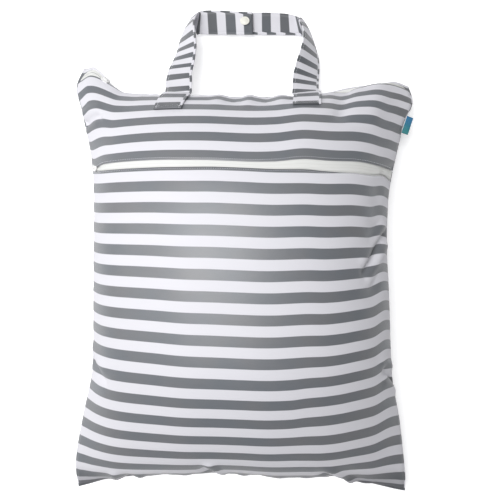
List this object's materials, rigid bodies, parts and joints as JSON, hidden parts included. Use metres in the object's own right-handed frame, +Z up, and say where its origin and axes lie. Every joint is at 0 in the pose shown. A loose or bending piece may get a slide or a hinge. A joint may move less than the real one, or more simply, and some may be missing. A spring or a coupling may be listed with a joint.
{
  "type": "cloth wet bag",
  "caption": "Stuffed cloth wet bag with a zip across the front, a zip along its top edge and a strap handle that closes with a press snap.",
  "frame": {"origin": "bottom centre of the box around the bag, on the surface that it lies on", "axes": "+X to the bag's left side as it lies, which is the right of the view from above; +Y from the bag's bottom seam to its handle; +Z up from the surface, out of the front panel"},
  "size_m": [0.402, 0.5908, 0.145],
  "materials": {
    "striped_cloth": "smooth printed knit, grey and white stripes across the bag",
    "strap_cloth": "the same striped knit, folded and stitched along both edges",
    "zip_tape": "white woven tape",
    "zip_coil": "white coil",
    "zip_slider": "white enamel",
    "snap_plastic": "glossy cream white",
    "label_ribbon": "plain teal ribbon, left bare"
  },
  "bodies": {
    "root": {"back_panel": "striped_cloth", "front_lower_panel": "striped_cloth", "front_upper_panel": "striped_cloth", "front_zip_tape_upper": "zip_tape", "front_zip_tape_lower": "zip_tape", "top_zip_tape_front": "zip_tape", "top_zip_tape_back": "zip_tape", "front_zip_coil": "zip_coil", "top_zip_coil": "zip_coil", "front_zip_slider": "zip_slider", "top_zip_slider": "zip_slider", "handle_strap_left": "strap_cloth", "handle_strap_right": "strap_cloth", "snap_cap": "snap_plastic", "snap_socket": "snap_plastic", "snap_stud": "snap_plastic", "snap_back": "snap_plastic", "side_label": "label_ribbon"}
  },
  "joints": []
}
